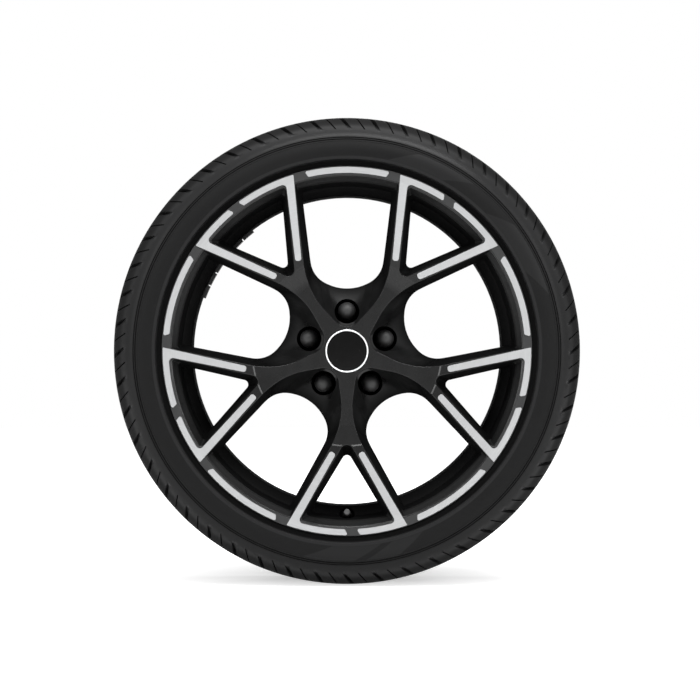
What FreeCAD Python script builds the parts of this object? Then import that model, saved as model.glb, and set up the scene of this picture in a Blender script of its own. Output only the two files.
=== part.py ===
"""Car wheel: a forked-spoke alloy rim with its tyre, caps, bolts and valve.

The wheel is modelled lying down, with the axle along +Z, the outer face up and the valve towards -Y.
Heights are counted from the rim's centre plane. At the end it is stood upright: the outer face looks
along -Y, the valve hangs at the bottom and +Z is up. All sizes are in millimetres.
"""
import FreeCAD, Part
import os
from math import acos, atan2, cos, degrees, hypot, pi, radians, sin, sqrt, tan

# Rim contour: 8.5 x 19 inch, J flange
RIM_DIAMETER = 482.6
RIM_WIDTH = 215.9
FLANGE_HEIGHT = 17.5
FLANGE_THICKNESS = 12.0
FLANGE_RADIUS = 9.5
FLANGE_EDGE = 1.2
BEAD_SEAT_LENGTH = 20.0
BEAD_SEAT_ANGLE = 5.0
BEAD_FILLET = 4.0
HUMP_HEIGHT = 1.6
HUMP_RUN = 2.5
HUMP_FALL = 6.0
WELL_DEPTH = 16.3
WELL_FRONT_Z = 44.0
WELL_REAR_Z = -18.0
WELL_FRONT_RISE = 8.0
WELL_FRONT_TAPER = 0.8
WELL_FRONT_FILLET = 4.0
WELL_REAR_FILLET = 12.0
BARREL_WALL = 5.0
LEDGE_Z = 56.0
LEDGE_DROP = 8.3
LEDGE_WALL = 4.5
LEDGE_HEIGHT = 5.0
LEDGE_CHAMFER = 1.5
LEDGE_EDGE = 1.0
NECK_BACK = 2.95
NECK_DROP = 5.3
NECK_FILLET = 22.0
LIP_FACE = 12.3
LIP_BEVEL = 2.0
LIP_EDGE = 0.5

# Rear half of the barrel
REAR_STEP_DROP = 2.0
REAR_STEP_FALL = 0.5
REAR_STEP_LENGTH = 22.0
REAR_FLANGE_FACE = 8.0
REAR_MOUTH_DEPTH = 14.0
REAR_MOUTH_FILLET = 8.0
REAR_WALL_EXTRA = 1.5
REAR_WALL_TAPER = 3.0
REAR_WALL_LENGTH = 18.0
REAR_WALL_RUN = 4.0

# Hub: mounting face, bolt circle and bores
OFFSET = 32.0
BOLT_COUNT = 5
BOLT_CIRCLE = 112.0
CENTRE_BORE = 66.6
CENTRE_BORE_DEPTH = 24.0
HUB_PAD_RADIUS = 76.0
HUB_PAD_EDGE = 3.0
HUB_FACE_Z = 98.5
BOLT_HOLE = 15.5
BOLT_SEAT_THICKNESS = 14.0
BALL_SEAT_RADIUS = 14.0
BOLT_POCKET = 35.0
HUB_POCKET_WIDTH = 20.0
HUB_POCKET_LENGTH = 30.0
HUB_POCKET_DEPTH = 16.0
HUB_POCKET_CORNER = 9.0

# Spokes: five stems that fork into two arms
SPOKE_COUNT = 5
FIRST_SPOKE_ANGLE = 270.0
STEM_TAPER = 7.4
VALLEY_RADIUS = 21.2
FORK_FILLET = 100.0
FORK_RADIUS = 113.0
FORK_RISE = 1.5
FACE_FILLET = 70.0
FORK_STEP_RADIUS = 131.5
FORK_STEP = 1.3
FORK_STEP_RUN = 2.5
FORK_STEP_FILLET = 2.0
ARM_START = 108.6
ARM_ANGLE = 30.0
ARM_FACE_ROOT = 10.2
ARM_FACE_TIP = 15.2
ARM_BACK_ROOT = 31.8
ARM_BACK_TIP = 29.8
ARM_FACE_Z = 113.0
ARM_BACK_Z = 60.0
ARM_LENGTH = 150.0
ARM_DISH_Z = 106.0
ARM_LIP_DROP = 0.15
STEM_BACK_Z = 50.0
STEM_BACK_RADIUS = 140.6
STEM_BACK_RISE = 7.0
STEM_FOOT_RUN = 12.0
STEM_FOOT_DROP = 3.0
SPOKE_END_BACK_Z = 64.0
SPOKE_ROOT = 2.0
SPOKE_EDGE = 1.2
FRONT_EDGE_Z = 85.0
BLANK_OVERHANG = 3.2
WINDOW_START = 88.5
WINDOW_END_RADIUS = 64.0
WINDOW_SIDE_ANGLE = 65.0
WINDOW_CORNER = 38.0
WINDOW_LIP_CORNER = 6.0
WINDOW_OVERCUT = 0.6
WINDOW_RISE = 10.0
WINDOW_DROP = 5.0
MAIN_WINDOW_HALF_ANGLE = 12.0
FORK_WINDOW_HALF_ANGLE = 8.0
FORK_WINDOW_FRONT_FILLET = 9.0
FORK_WINDOW_BACK_FILLET = 6.7
VALLEY_TOP_Z = 95.0
VALLEY_FOOT_Z = 56.0

# Raised strips that are turned bright
STRIP_HEIGHT = 0.8
STRIP_ROOT_DEPTH = 2.0
STRIP_PRISM_MARGIN = 10.0
STRIP_START = 142.0
STRIP_ROOT_WIDTH = 7.8
STRIP_TIP_WIDTH = 11.4
STRIP_INNER_MARGIN = 2.2
STRIP_OUTER_MARGIN = 1.7
STRIP_CORNER = 5.6
STRIP_END_ROUND = 2.2
STRIP_TIP_ROUND = 1.1
STRIP_ROOT_ROUND = 3.51
STRIP_GAP_START = -0.2
STRIP_GAP_END = 3.6
STRIP_GAP_SLANT = 1.0
LONG_STRIP_START = 22.9
LONG_STRIP_END = 48.9
LONG_STRIP_SLANT = 0.8

# Centre cap and its seat
CAP_DIAMETER = 60.4
CAP_SEAT_CLEARANCE = 0.3
CAP_SEAT_Z = 94.0
CAP_BORE = 56.8
CAP_BORE_LENGTH = 8.0
CAP_CAVITY = 62.0
CAP_RING_WIDTH = 2.2
CAP_RING_HEIGHT = 3.4
CAP_RING_ROUND = 0.88
CAP_RING_STAND = 0.6
CAP_FLANGE = 1.6
CAP_DOME = 1.2
CAP_FLAT = 2.0
CAP_FINGER_COUNT = 8
CAP_FINGER_LENGTH = 14.0
CAP_FINGER_WALL = 2.0
CAP_FINGER_SLOT = 7.0
CAP_FINGER_TAPER = 0.5
CAP_BARB = 0.9
CAP_CLEARANCE = 0.3
SPRING_WIRE = 1.8
SPRING_CLEARANCE = 0.05
SPRING_DEPTH = 2.0

# Wheel bolts, seat rings and bolt caps
BOLT_THREAD = 14.0
BOLT_SHANK = 12.8
BOLT_REACH = 12.0
BOLT_HEX = 17.0
BOLT_HEAD = 13.0
BOLT_HEAD_CHAMFER = 1.2
BOLT_FLANGE = 23.0
BOLT_FLANGE_HEIGHT = 2.5
BOLT_FLANGE_TAPER = 1.0
BOLT_POINT = 1.5
SEAT_RING_BORE = 15.9
SEAT_RING_DIAMETER = 24.0
SEAT_RING_HEIGHT = 6.0
SEAT_RING_CLEARANCE = 0.1
BALL_CLEARANCE = 0.02
BOLT_CAP_DIAMETER = 26.0
BOLT_CAP_CLEARANCE = 0.2
BOLT_CAP_SKIRT_GAP = 1.0
BOLT_CAP_HEIGHT = 20.0
THREAD_START = 0.1

# Valve: its axis leans towards the hub
VALVE_LEAN = 13.0
VALVE_TIP_DROP = 6.1
VALVE_TIP_Z = 76.0
VALVE_LENGTH = 27.0
VALVE_HOLE = 11.4
VALVE_WALL = 4.0
VALVE_POCKET = 21.8
VALVE_BOSS_WALL = 3.4
VALVE_BOSS_LENGTH = 28.0
VALVE_BULB = 18.0
VALVE_BULB_HEIGHT = 5.0
VALVE_BULB_CHAMFER = 3.0
VALVE_NECK_CLEARANCE = 0.1
VALVE_SHOULDER = 14.6
VALVE_SHOULDER_HEIGHT = 1.6
VALVE_RUBBER_TOP = 9.8
VALVE_RUBBER_LENGTH = 11.0
VALVE_RUBBER_COLLAR = 4.0
VALVE_STEM_LENGTH = 20.5
VALVE_STEM_ROOT = 5.8
VALVE_STEM_CHAMFER = 0.8
VALVE_THREAD = 7.7
VALVE_BORE = 4.2
CORE_LENGTH = 11.0
CORE_DROP = 1.5
CORE_CLEARANCE = 0.05
CORE_BORE = 1.7
PIN_DIAMETER = 1.3
PIN_HEAD = 3.2
PIN_HEAD_LENGTH = 2.5
PIN_DROP = 0.8
PIN_TIP_HEIGHT = 0.3
PIN_TIP_TAPER = 0.2
VALVE_CAP_DIAMETER = 9.8
VALVE_CAP_SKIRT = 12.5
VALVE_CAP_CLEARANCE = 0.3
VALVE_CAP_CROWN = 1.6
VALVE_CAP_DRAFT = 0.5
VALVE_SEAL_THICKNESS = 1.0
VALVE_SEAL_HOLE = 3.0
VALVE_SEAL_CLEARANCE = 0.1

# Tyre: 255/35 R19
TYRE_WIDTH = 255.0
TYRE_DIAMETER = 661.0
TREAD_HALF_WIDTH = 97.0
TREAD_EDGE_ROUND = 18.0
CROWN_DROP = 3.4
SHOULDER_INSET = 8.5
SHOULDER_DROP = 24.5
SHOULDER_ROUND = 40.0
WIDEST_DROP = 46.5
WIDEST_ROUND = 30.0
PROTECTOR_STAND = 10.2
PROTECTOR_RISE = 2.0
PROTECTOR_FALL = 1.0
PROTECTOR_INSET = 0.9
PROTECTOR_FOOT = 6.7
TYRE_GROOVE_DROP = 0.95
TYRE_GROOVE_SLOPE = 1.0
TYRE_RIM_GAP = 0.15
BEAD_TOE_HEIGHT = 8.0
BEAD_TOE_RISE = 2.0
SIDEWALL = 9.0
SIDEWALL_FOOT_EXTRA = 4.0
CHAMBER_RISE = 6.0
CHAMBER_INSET = 8.0
TREAD_THICKNESS = 14.5
TREAD_GROOVE_WIDTH = 11.0
TREAD_GROOVE_DEPTH = 7.5
TREAD_GROOVE_TAPER = 1.2
TREAD_GROOVE_PLACES = (-58.0, -20.0, 20.0, 58.0)

# Stick-on balance weights in the barrel
WEIGHT_COUNT = 6
WEIGHT_LENGTH = 19.0
WEIGHT_GAP = 1.5
WEIGHT_WIDTH = 18.0
WEIGHT_THICKNESS = 3.6
WEIGHT_TAPE = 1.0
WEIGHT_FRONT_Z = 12.0
WEIGHT_REAR_Z = -86.0
WEIGHT_FRONT_ANGLE = 128.0
WEIGHT_REAR_ANGLE = 61.0

# Sizes that follow from the ones above
SEAT_R = RIM_DIAMETER / 2
SEAT_FOOT_R = SEAT_R - BEAD_SEAT_LENGTH * tan(radians(BEAD_SEAT_ANGLE))
FLANGE_R = SEAT_R + FLANGE_HEIGHT
FLANGE_Z = RIM_WIDTH / 2
SEAT_END_Z = FLANGE_Z - BEAD_SEAT_LENGTH
HUMP_Z = SEAT_END_Z - HUMP_RUN
LIP_Z = FLANGE_Z + FLANGE_THICKNESS
LIP_INNER_RADIUS = FLANGE_R - LIP_FACE
LEDGE_RADIUS = SEAT_R - LEDGE_DROP
NECK_RADIUS = SEAT_R - NECK_DROP
NECK_Z = FLANGE_Z - NECK_BACK
WELL_R = SEAT_R - WELL_DEPTH
WELL_WALL_R = WELL_R - BARREL_WALL
BOLT_R = BOLT_CIRCLE / 2
BOLT_SEAT_Z = OFFSET + BOLT_SEAT_THICKNESS
BALL_CENTRE_Z = BOLT_SEAT_Z + sqrt(BALL_SEAT_RADIUS**2 - (BOLT_HOLE / 2)**2)
RING_TOP_Z = BOLT_SEAT_Z + SEAT_RING_HEIGHT
POCKET_FLOOR_Z = BALL_CENTRE_Z - sqrt(BALL_SEAT_RADIUS**2 - (SEAT_RING_DIAMETER / 2)**2)
FLANGE_TOP_Z = RING_TOP_Z + BOLT_FLANGE_HEIGHT
SPOKE_TIP_Z = LIP_Z - ARM_LIP_DROP
WINDOW_TOP_Z = LIP_Z + WINDOW_RISE
FORK_STEP_END = FORK_STEP_RADIUS + FORK_STEP_RUN
STRIP_LIP_INNER = LIP_INNER_RADIUS + STRIP_INNER_MARGIN
STRIP_LIP_OUTER = FLANGE_R - STRIP_OUTER_MARGIN
CROWN_R = TYRE_DIAMETER / 2
TREAD_EDGE_R = CROWN_R - CROWN_DROP
SPOKE_ANGLES = [FIRST_SPOKE_ANGLE + i * 360.0 / SPOKE_COUNT for i in range(SPOKE_COUNT)]
BOLT_ANGLES = [FIRST_SPOKE_ANGLE + (i + 0.5) * 360.0 / BOLT_COUNT for i in range(BOLT_COUNT)]
HALF_PITCH = 180.0 / SPOKE_COUNT
AXLE = FreeCAD.Vector(0, 0, 1)
ORIGIN = FreeCAD.Vector(0, 0, 0)
PAST = 1.0


def point(x, y, z=0.0):
    return FreeCAD.Vector(x, y, z)


def polar(radius, angle, z=0.0):
    return point(radius * cos(radians(angle)), radius * sin(radians(angle)), z)


def corner_turns(corners):
    """Per corner: unit vectors to its neighbours, half its angle, the rounding's reach, the next side."""
    turns = []
    for i, (x, y, fillet) in enumerate(corners):
        before = corners[i - 1]
        after = corners[(i + 1) % len(corners)]
        a_len = hypot(before[0] - x, before[1] - y)
        b_len = hypot(after[0] - x, after[1] - y)
        back = ((before[0] - x) / a_len, (before[1] - y) / a_len)
        ahead = ((after[0] - x) / b_len, (after[1] - y) / b_len)
        half = acos(back[0] * ahead[0] + back[1] * ahead[1]) / 2
        turns.append((back, ahead, half, fillet / tan(half), b_len))
    return turns


def rounded_edges(corners, place):
    """Edges of a closed polygon of (x, y, fillet) corners; place turns (x, y) into a point in space.

    Two roundings that would overlap on the side between them are made smaller until they fit on it.
    """
    count = len(corners)
    turns = corner_turns(corners)
    room = []
    for i, (_, _, _, reach, length) in enumerate(turns):
        both = reach + turns[(i + 1) % count][3]
        room.append(min(1.0, 0.98 * length / both) if both else 1.0)
    spans = []
    for i, (x, y, fillet) in enumerate(corners):
        (ax, ay), (bx, by), half, reach, _ = turns[i]
        if fillet == 0:
            spans.append(((x, y), None, (x, y)))
            continue
        reach *= min(room[i - 1], room[i])
        mx, my = ax + bx, ay + by
        sag = reach * tan(half) * (1 / sin(half) - 1) / hypot(mx, my)
        start = (x + ax * reach, y + ay * reach)
        spans.append((start, (x + mx * sag, y + my * sag), (x + bx * reach, y + by * reach)))
    edges = []
    for i, (start, middle, end) in enumerate(spans):
        if middle:
            edges.append(Part.Arc(place(*start), place(*middle), place(*end)).toShape())
        following = spans[(i + 1) % count][0]
        if hypot(following[0] - end[0], following[1] - end[1]) > 1e-6:
            edges.append(Part.LineSegment(place(*end), place(*following)).toShape())
    return edges


def rounded_wire(corners, z, angle):
    """A flat closed wire at height z; the corners' x axis points along the given angle."""
    c, s = cos(radians(angle)), sin(radians(angle))
    return Part.Wire(rounded_edges(corners, lambda x, y: point(x * c - y * s, x * s + y * c, z)))


def revolved(corners):
    """A ring or disc: a polygon of (radius, height, fillet) corners turned about the axle."""
    wire = Part.Wire(rounded_edges(corners, lambda r, z: point(r, 0, z)))
    return Part.Face(wire).revolve(ORIGIN, AXLE, 360)


def turned(corners):
    """As revolved, for plain (radius, height) corners with no rounding."""
    return revolved([(r, z, 0) for r, z in corners])


def cylinder(radius, z_low, z_high, x=0.0, y=0.0):
    return Part.makeCylinder(radius, z_high - z_low, point(x, y, z_low))


def crossing(line_a, line_b):
    """Where two lines meet, each given as (x, y, dx, dy)."""
    ax, ay, adx, ady = line_a
    bx, by, bdx, bdy = line_b
    t = ((bx - ax) * bdy - (by - ay) * bdx) / (adx * bdy - ady * bdx)
    return ax + adx * t, ay + ady * t


def blend(low, high, share):
    return low + (high - low) * share


# Rim: barrel, spokes and hub


def rear_wall():
    """The two ends of the barrel's inner wall behind the drop centre, as (radius, height)."""
    mouth_r = SEAT_FOOT_R - BARREL_WALL - REAR_WALL_EXTRA
    return (mouth_r, REAR_MOUTH_DEPTH - LIP_Z), (mouth_r - REAR_WALL_TAPER, REAR_WALL_LENGTH - HUMP_Z)


def barrel():
    hump_r = SEAT_FOOT_R + HUMP_HEIGHT
    front_r = LEDGE_RADIUS + LEDGE_WALL
    mouth, root = rear_wall()
    return revolved([
        (LIP_INNER_RADIUS, LIP_Z, LIP_EDGE),
        (FLANGE_R, LIP_Z, FLANGE_EDGE),
        (FLANGE_R, FLANGE_Z, FLANGE_RADIUS),
        (SEAT_R, FLANGE_Z, BEAD_FILLET),
        (SEAT_FOOT_R, SEAT_END_Z, 0),
        (hump_r, HUMP_Z, 0),
        (front_r, HUMP_Z - HUMP_FALL, 0),
        (front_r - WELL_FRONT_TAPER, WELL_FRONT_Z + WELL_FRONT_RISE, 0),
        (WELL_R, WELL_FRONT_Z, WELL_FRONT_FILLET),
        (WELL_R, WELL_REAR_Z, WELL_REAR_FILLET),
        (SEAT_FOOT_R - REAR_STEP_DROP - REAR_STEP_FALL, REAR_STEP_LENGTH - HUMP_Z, 0),
        (SEAT_FOOT_R - REAR_STEP_DROP, HUMP_FALL - HUMP_Z, 0),
        (hump_r, -HUMP_Z, 0),
        (SEAT_FOOT_R, -SEAT_END_Z, 0),
        (SEAT_R, -FLANGE_Z, BEAD_FILLET),
        (FLANGE_R, -FLANGE_Z, FLANGE_RADIUS),
        (FLANGE_R, -LIP_Z, FLANGE_EDGE),
        (FLANGE_R - REAR_FLANGE_FACE, -LIP_Z, 0),
        mouth + (REAR_MOUTH_FILLET,),
        root + (0,),
        (WELL_WALL_R, WELL_REAR_Z - REAR_WALL_RUN, WELL_REAR_FILLET),
        (WELL_WALL_R, LEDGE_Z - LEDGE_HEIGHT, 0),
        (WELL_WALL_R + LEDGE_CHAMFER, LEDGE_Z - LEDGE_HEIGHT + LEDGE_CHAMFER, 0),
    ] + lip_wall())


def lip_wall():
    """Corners of the barrel's inner wall from the ledge out to the lip's bevel."""
    return [
        (LEDGE_RADIUS, LEDGE_Z, LEDGE_EDGE),
        (NECK_RADIUS, NECK_Z, NECK_FILLET),
        (LIP_INNER_RADIUS - LIP_BEVEL, LIP_Z - LIP_BEVEL / 2, LIP_EDGE),
    ]


def lip_wall_radius(z):
    """Radius of that wall at height z, with its corner left sharp."""
    ledge, neck, lip = lip_wall()
    low, high = (ledge, neck) if z < NECK_Z else (neck, lip)
    return blend(low[0], high[0], (z - low[1]) / (high[1] - low[1]))


def face_profile():
    """The dished front face of hub and spokes out to the arms' beds, as (radius, height, fillet)."""
    return [
        (0, HUB_FACE_Z, 0),
        (FORK_RADIUS, HUB_FACE_Z + FORK_RISE, FACE_FILLET),
        (FORK_STEP_RADIUS, ARM_DISH_Z - FORK_STEP, FORK_STEP_FILLET),
        (FORK_STEP_END, ARM_DISH_Z, FORK_STEP_FILLET),
    ]


def spoke_blank(far_r):
    """A dished disc, wider than the rim, that the windows are cut from."""
    slope = (SPOKE_TIP_Z - ARM_DISH_Z) / (LIP_INNER_RADIUS - FORK_STEP_END)
    return revolved(face_profile() + [
        (far_r, ARM_DISH_Z + slope * (far_r - FORK_STEP_END), 0),
        (far_r, SPOKE_END_BACK_Z, 0),
        (lip_wall_radius(SPOKE_END_BACK_Z), SPOKE_END_BACK_Z, 0),
        (STEM_BACK_RADIUS, STEM_BACK_Z + STEM_BACK_RISE, 0),
        (HUB_PAD_RADIUS + STEM_FOOT_RUN, STEM_BACK_Z - STEM_FOOT_DROP, 0),
        (HUB_PAD_RADIUS, OFFSET, HUB_PAD_EDGE),
        (0, OFFSET, 0),
    ])


def front_edges(body, far_r):
    """Sharp edges where the dished face meets the wall of a window."""
    found = []
    for edge in body.Edges:
        if edge.Degenerated or edge.Length < 0.01:
            continue
        middle = edge.valueAt((edge.FirstParameter + edge.LastParameter) / 2)
        if middle.z < FRONT_EDGE_Z or hypot(middle.x, middle.y) > far_r - PAST:
            continue
        faces = body.ancestorsOfType(edge, Part.Face)
        normals = [face.normalAt(*face.Surface.parameter(middle)) for face in faces]
        if sorted(abs(normal.z) > 0.8 for normal in normals) == [False, True]:
            found.append(edge)
    return found


def spokes():
    """Hub and forked spokes with rounded edges, cut off a little inside the barrel's wall."""
    far_r = FLANGE_R + BLANK_OVERHANG
    body = spoke_blank(far_r)
    for angle in SPOKE_ANGLES:
        for window in (main_window(angle + HALF_PITCH), fork_window(angle)):
            body = body.cut(window)
            body = body.makeFillet(SPOKE_EDGE, front_edges(body, far_r))
    end_r = lip_wall_radius(SPOKE_END_BACK_Z)
    return body.common(turned([
        (0, OFFSET - PAST),
        (end_r - SPOKE_END_BACK_Z / 2, OFFSET - PAST),
        (end_r + SPOKE_ROOT, SPOKE_END_BACK_Z - PAST),
        (NECK_RADIUS + SPOKE_ROOT, NECK_Z),
        (LIP_INNER_RADIUS + SPOKE_ROOT, SPOKE_TIP_Z),
        (0, SPOKE_TIP_Z),
    ]))


def arm_edge(z, side):
    """An arm's edge at height z in the spoke's own frame, as a line: +1 outer side, -1 fork side."""
    share = (z - ARM_BACK_Z) / (ARM_FACE_Z - ARM_BACK_Z)
    root = blend(ARM_BACK_ROOT, ARM_FACE_ROOT, share) / 2 * side
    tip = blend(ARM_BACK_TIP, ARM_FACE_TIP, share) / 2 * side
    c, s = cos(radians(ARM_ANGLE)), sin(radians(ARM_ANGLE))
    x0, y0 = ARM_START - root * s, root * c
    x1, y1 = ARM_START + ARM_LENGTH * c - tip * s, ARM_LENGTH * s + tip * c
    return x0, y0, x1 - x0, y1 - y0


def lip_side(z, half_angle):
    """The window's outer side at height z: a tangent of the lip wall and its crown on the window's axis."""
    radius = lip_wall_radius(z) + WINDOW_OVERCUT
    c, s = cos(radians(half_angle)), sin(radians(half_angle))
    tangent = (radius * c, radius * s, -s, c)
    return tangent, (radius / c, 0.0, radius)


def mirrored(half, first, crown):
    """A closed outline from its crown corners on the axis and the corners of one half."""
    back = [(x, -y, fillet) for x, y, fillet in reversed(half)]
    return [first] + half + [crown] + back


def main_window_corners(z, level):
    """Outline of the wide window between two spokes; level 0 is its foot, 1 the top of the valley."""
    centre = blend(WINDOW_START + WINDOW_END_RADIUS, BOLT_R, level)
    end_radius = blend(WINDOW_END_RADIUS, VALLEY_RADIUS, level)
    side_angle = radians(blend(WINDOW_SIDE_ANGLE, HALF_PITCH + STEM_TAPER, level))
    corner = blend(WINDOW_CORNER, FORK_FILLET, level)
    start = centre - end_radius / sin(side_angle)
    stem_line = (start, 0.0, cos(side_angle), sin(side_angle))
    x, y, dx, dy = arm_edge(z, 1)
    c, s = cos(radians(HALF_PITCH)), sin(radians(HALF_PITCH))
    arm_line = (x * c + y * s, x * s - y * c, dx * c + dy * s, dx * s - dy * c)
    tangent, crown = lip_side(z, MAIN_WINDOW_HALF_ANGLE)
    half = [
        crossing(stem_line, arm_line) + (corner,),
        crossing(arm_line, tangent) + (WINDOW_LIP_CORNER,),
    ]
    return mirrored(half, (start, 0.0, end_radius), crown)


def main_window(angle):
    """Cutter for a wide window with the sloping valley that leads into it from the hub."""
    levels = [(OFFSET - PAST, 0.0), (VALLEY_FOOT_Z, 0.0)]
    levels += [(VALLEY_TOP_Z, 1.0), (NECK_Z, 1.0), (WINDOW_TOP_Z, 1.0)]
    wires = []
    for z, level in levels:
        wires.append(rounded_wire(main_window_corners(max(z, VALLEY_FOOT_Z), level), z, angle))
    return Part.makeLoft(wires, True, True)


def fork_window_corners(z):
    share = (z - ARM_BACK_Z) / (ARM_FACE_Z - ARM_BACK_Z)
    x, y, dx, dy = arm_edge(z, -1)
    apex = (x - y * dx / dy, 0.0, blend(FORK_WINDOW_BACK_FILLET, FORK_WINDOW_FRONT_FILLET, share))
    tangent, crown = lip_side(z, FORK_WINDOW_HALF_ANGLE)
    half = [crossing((x, y, dx, dy), tangent) + (WINDOW_LIP_CORNER,)]
    return mirrored(half, apex, crown)


def fork_window(angle):
    """Cutter for the triangular window between a spoke's two arms."""
    levels = (STEM_BACK_Z - WINDOW_DROP, NECK_Z, WINDOW_TOP_Z)
    wires = [rounded_wire(fork_window_corners(z), z, angle) for z in levels]
    return Part.makeLoft(wires, True, True)


def strip_shell():
    """The thin layer above the front face that the raised strips are cut from."""
    front = [(FORK_STEP_END, ARM_DISH_Z), (LIP_INNER_RADIUS, LIP_Z), (FLANGE_R, LIP_Z)]
    below = [(r, z - STRIP_ROOT_DEPTH) for r, z in front]
    above = [(r, z + STRIP_HEIGHT) for r, z in reversed(front)]
    return turned(below + above)


def upright_edges(solid):
    """Straight edges that run along the axle."""
    found = []
    for edge in solid.Edges:
        if isinstance(edge.Curve, Part.Line) and abs(edge.tangentAt(edge.FirstParameter).z) > 0.99:
            found.append(edge)
    return found


def edges_above(solid, corner):
    """The upright edges over one corner."""
    found = []
    for edge in upright_edges(solid):
        foot = edge.Vertexes[0].Point
        if hypot(foot.x - corner.x, foot.y - corner.y) < 0.01:
            found.append(edge)
    return found


def ring_sector(start, end, start_slant, end_slant):
    """Edges of a stretch of the lip strip between two angles; the slants lean its ends."""
    outer = (start - start_slant / 2, end + end_slant / 2)
    inner = (start + start_slant / 2, end - end_slant / 2)
    return outer, inner


def strip_prism(edges):
    face = Part.Face(Part.Wire(edges))
    face.translate(point(0, 0, ARM_DISH_Z - STRIP_PRISM_MARGIN))
    return face.extrude(point(0, 0, LIP_Z - ARM_DISH_Z + 2 * STRIP_PRISM_MARGIN))


def long_strip(angle):
    outer, inner = ring_sector(LONG_STRIP_START, LONG_STRIP_END, LONG_STRIP_SLANT, LONG_STRIP_SLANT)
    a, b = polar(STRIP_LIP_OUTER, angle + outer[0]), polar(STRIP_LIP_OUTER, angle + outer[1])
    c, d = polar(STRIP_LIP_INNER, angle + inner[1]), polar(STRIP_LIP_INNER, angle + inner[0])
    middle = angle + (LONG_STRIP_START + LONG_STRIP_END) / 2
    prism = strip_prism([
        Part.Arc(a, polar(STRIP_LIP_OUTER, middle), b).toShape(),
        Part.LineSegment(b, c).toShape(),
        Part.Arc(c, polar(STRIP_LIP_INNER, middle), d).toShape(),
        Part.LineSegment(d, a).toShape(),
    ])
    return prism.makeFillet(STRIP_END_ROUND, upright_edges(prism))


def circle_hit(line, radius):
    """Where a line in the spoke's frame crosses a circle about the axle, on the far side."""
    x, y, dx, dy = line
    a = dx * dx + dy * dy
    b = x * dx + y * dy
    t = (-b + sqrt(b * b - a * (x * x + y * y - radius * radius))) / a
    return x + dx * t, y + dy * t


def angled_strip(angle, side):
    """The strip along an arm and round the corner on to the lip; side is +1 or -1."""
    c, s = cos(radians(ARM_ANGLE)), sin(radians(ARM_ANGLE))

    def edge_line(outward):
        root, tip = STRIP_ROOT_WIDTH / 2 * outward, STRIP_TIP_WIDTH / 2 * outward
        x0, y0 = ARM_START - root * s, root * c
        x1, y1 = ARM_START + ARM_LENGTH * c - tip * s, ARM_LENGTH * s + tip * c
        return x0, y0, x1 - x0, y1 - y0

    across = (STRIP_START, (STRIP_START - ARM_START) * s / c, -s, c)
    outer_root = crossing(edge_line(1), across)
    inner_root = crossing(edge_line(-1), across)
    outer_tip = circle_hit(edge_line(1), STRIP_LIP_OUTER)
    inner_tip = circle_hit(edge_line(-1), STRIP_LIP_INNER)
    gap = STRIP_GAP_END if side > 0 else -STRIP_GAP_START
    lean = STRIP_GAP_SLANT / 2 * side
    end_outer, end_inner = gap + lean, gap - lean

    def spot(x, y):
        return polar(hypot(x, y), angle + degrees(atan2(y, x)) * side)

    def on_lip(radius, local):
        return polar(radius, angle + local * side)

    tip_outer_angle = degrees(atan2(outer_tip[1], outer_tip[0]))
    tip_inner_angle = degrees(atan2(inner_tip[1], inner_tip[0]))
    a, b = spot(*outer_root), spot(*outer_tip)
    e, f = spot(*inner_tip), spot(*inner_root)
    p, q = on_lip(STRIP_LIP_OUTER, end_outer), on_lip(STRIP_LIP_INNER, end_inner)
    outer_middle = on_lip(STRIP_LIP_OUTER, (tip_outer_angle + end_outer) / 2)
    inner_middle = on_lip(STRIP_LIP_INNER, (tip_inner_angle + end_inner) / 2)
    prism = strip_prism([
        Part.LineSegment(a, b).toShape(),
        Part.Arc(b, outer_middle, p).toShape(),
        Part.LineSegment(p, q).toShape(),
        Part.Arc(q, inner_middle, e).toShape(),
        Part.LineSegment(e, f).toShape(),
        Part.LineSegment(f, a).toShape(),
    ])
    rounds = [(a, STRIP_ROOT_ROUND), (f, STRIP_ROOT_ROUND), (e, STRIP_CORNER)]
    rounds += [(p, STRIP_END_ROUND), (q, STRIP_END_ROUND), (b, STRIP_TIP_ROUND)]
    for corner, radius in rounds:
        prism = prism.makeFillet(radius, edges_above(prism, corner))
    return prism


def strips():
    shell = strip_shell()
    prisms = []
    for angle in SPOKE_ANGLES:
        prisms += [angled_strip(angle, 1), angled_strip(angle, -1), long_strip(angle)]
    return [shell.common(prism) for prism in prisms]


def bolt_cutters():
    """Through hole, ball seat and pocket of each bolt."""
    cutters = []
    for angle in BOLT_ANGLES:
        spot = polar(BOLT_R, angle)
        hole = cylinder(BOLT_HOLE / 2, OFFSET - PAST, BALL_CENTRE_Z, spot.x, spot.y)
        ball = Part.makeSphere(BALL_SEAT_RADIUS, point(spot.x, spot.y, BALL_CENTRE_Z))
        mouth = cylinder(SEAT_RING_DIAMETER / 2, OFFSET, POCKET_FLOOR_Z + PAST, spot.x, spot.y)
        seat = ball.common(mouth)
        pocket = cylinder(BOLT_POCKET / 2, POCKET_FLOOR_Z, LIP_Z, spot.x, spot.y)
        cutters += [hole, seat, pocket]
    return cutters


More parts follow.
